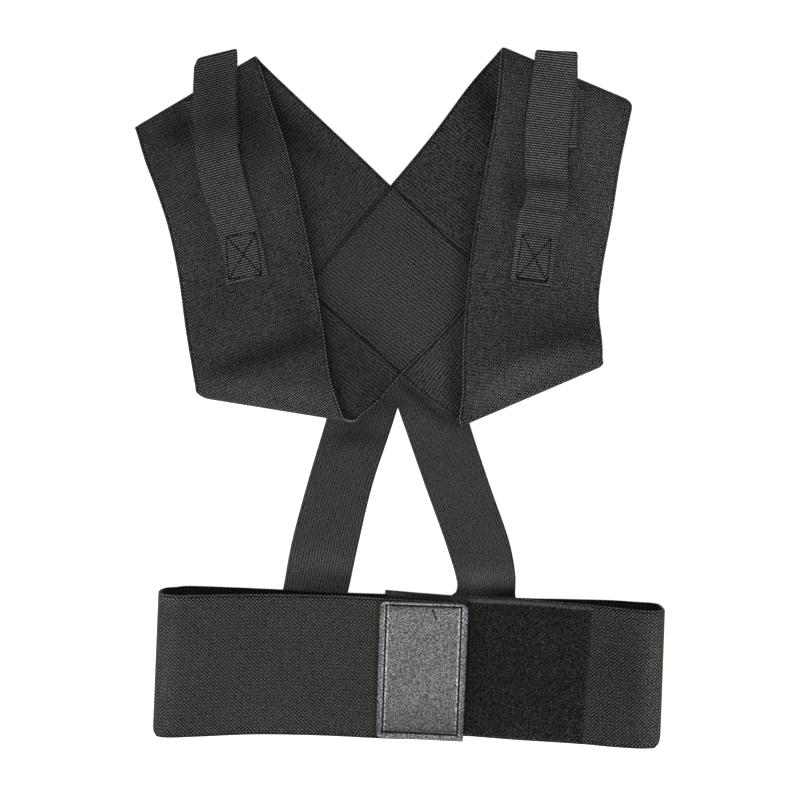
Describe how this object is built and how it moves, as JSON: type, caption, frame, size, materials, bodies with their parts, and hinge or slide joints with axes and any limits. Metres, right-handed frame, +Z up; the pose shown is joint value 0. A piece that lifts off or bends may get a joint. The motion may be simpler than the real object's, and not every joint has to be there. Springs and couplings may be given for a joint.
{
  "type": "back support belt",
  "caption": "Back and posture support harness lying flat: crossed elastic shoulder loops with webbing tabs, straps down to a hook-and-loop waist band with a leather patch.",
  "frame": {"origin": "centre of the bounding box, on the table that the harness lies on", "axes": "+Y towards the shoulders, +Z up off the table, +X to the right as seen from above"},
  "size_m": [0.3674, 0.4858, 0.0219],
  "materials": {
    "elastic": "charcoal woven elastic, matte",
    "ribbed_elastic": "charcoal elastic with lengthwise ribs, matte",
    "webbing": "charcoal ribbed webbing, slight sheen",
    "loop_pile": "black loop pile, fuzzy",
    "hook_tape": "black moulded hook tape",
    "leather": "grey grained imitation leather, semi-matte"
  },
  "bodies": {
    "root": {"shoulder_band": "elastic", "waist_band": "elastic", "lower_strap_left": "ribbed_elastic", "lower_strap_right": "ribbed_elastic", "webbing_left": "webbing", "webbing_right": "webbing", "loop_panel": "loop_pile", "hook_pad": "hook_tape", "leather_patch": "leather"}
  },
  "joints": []
}
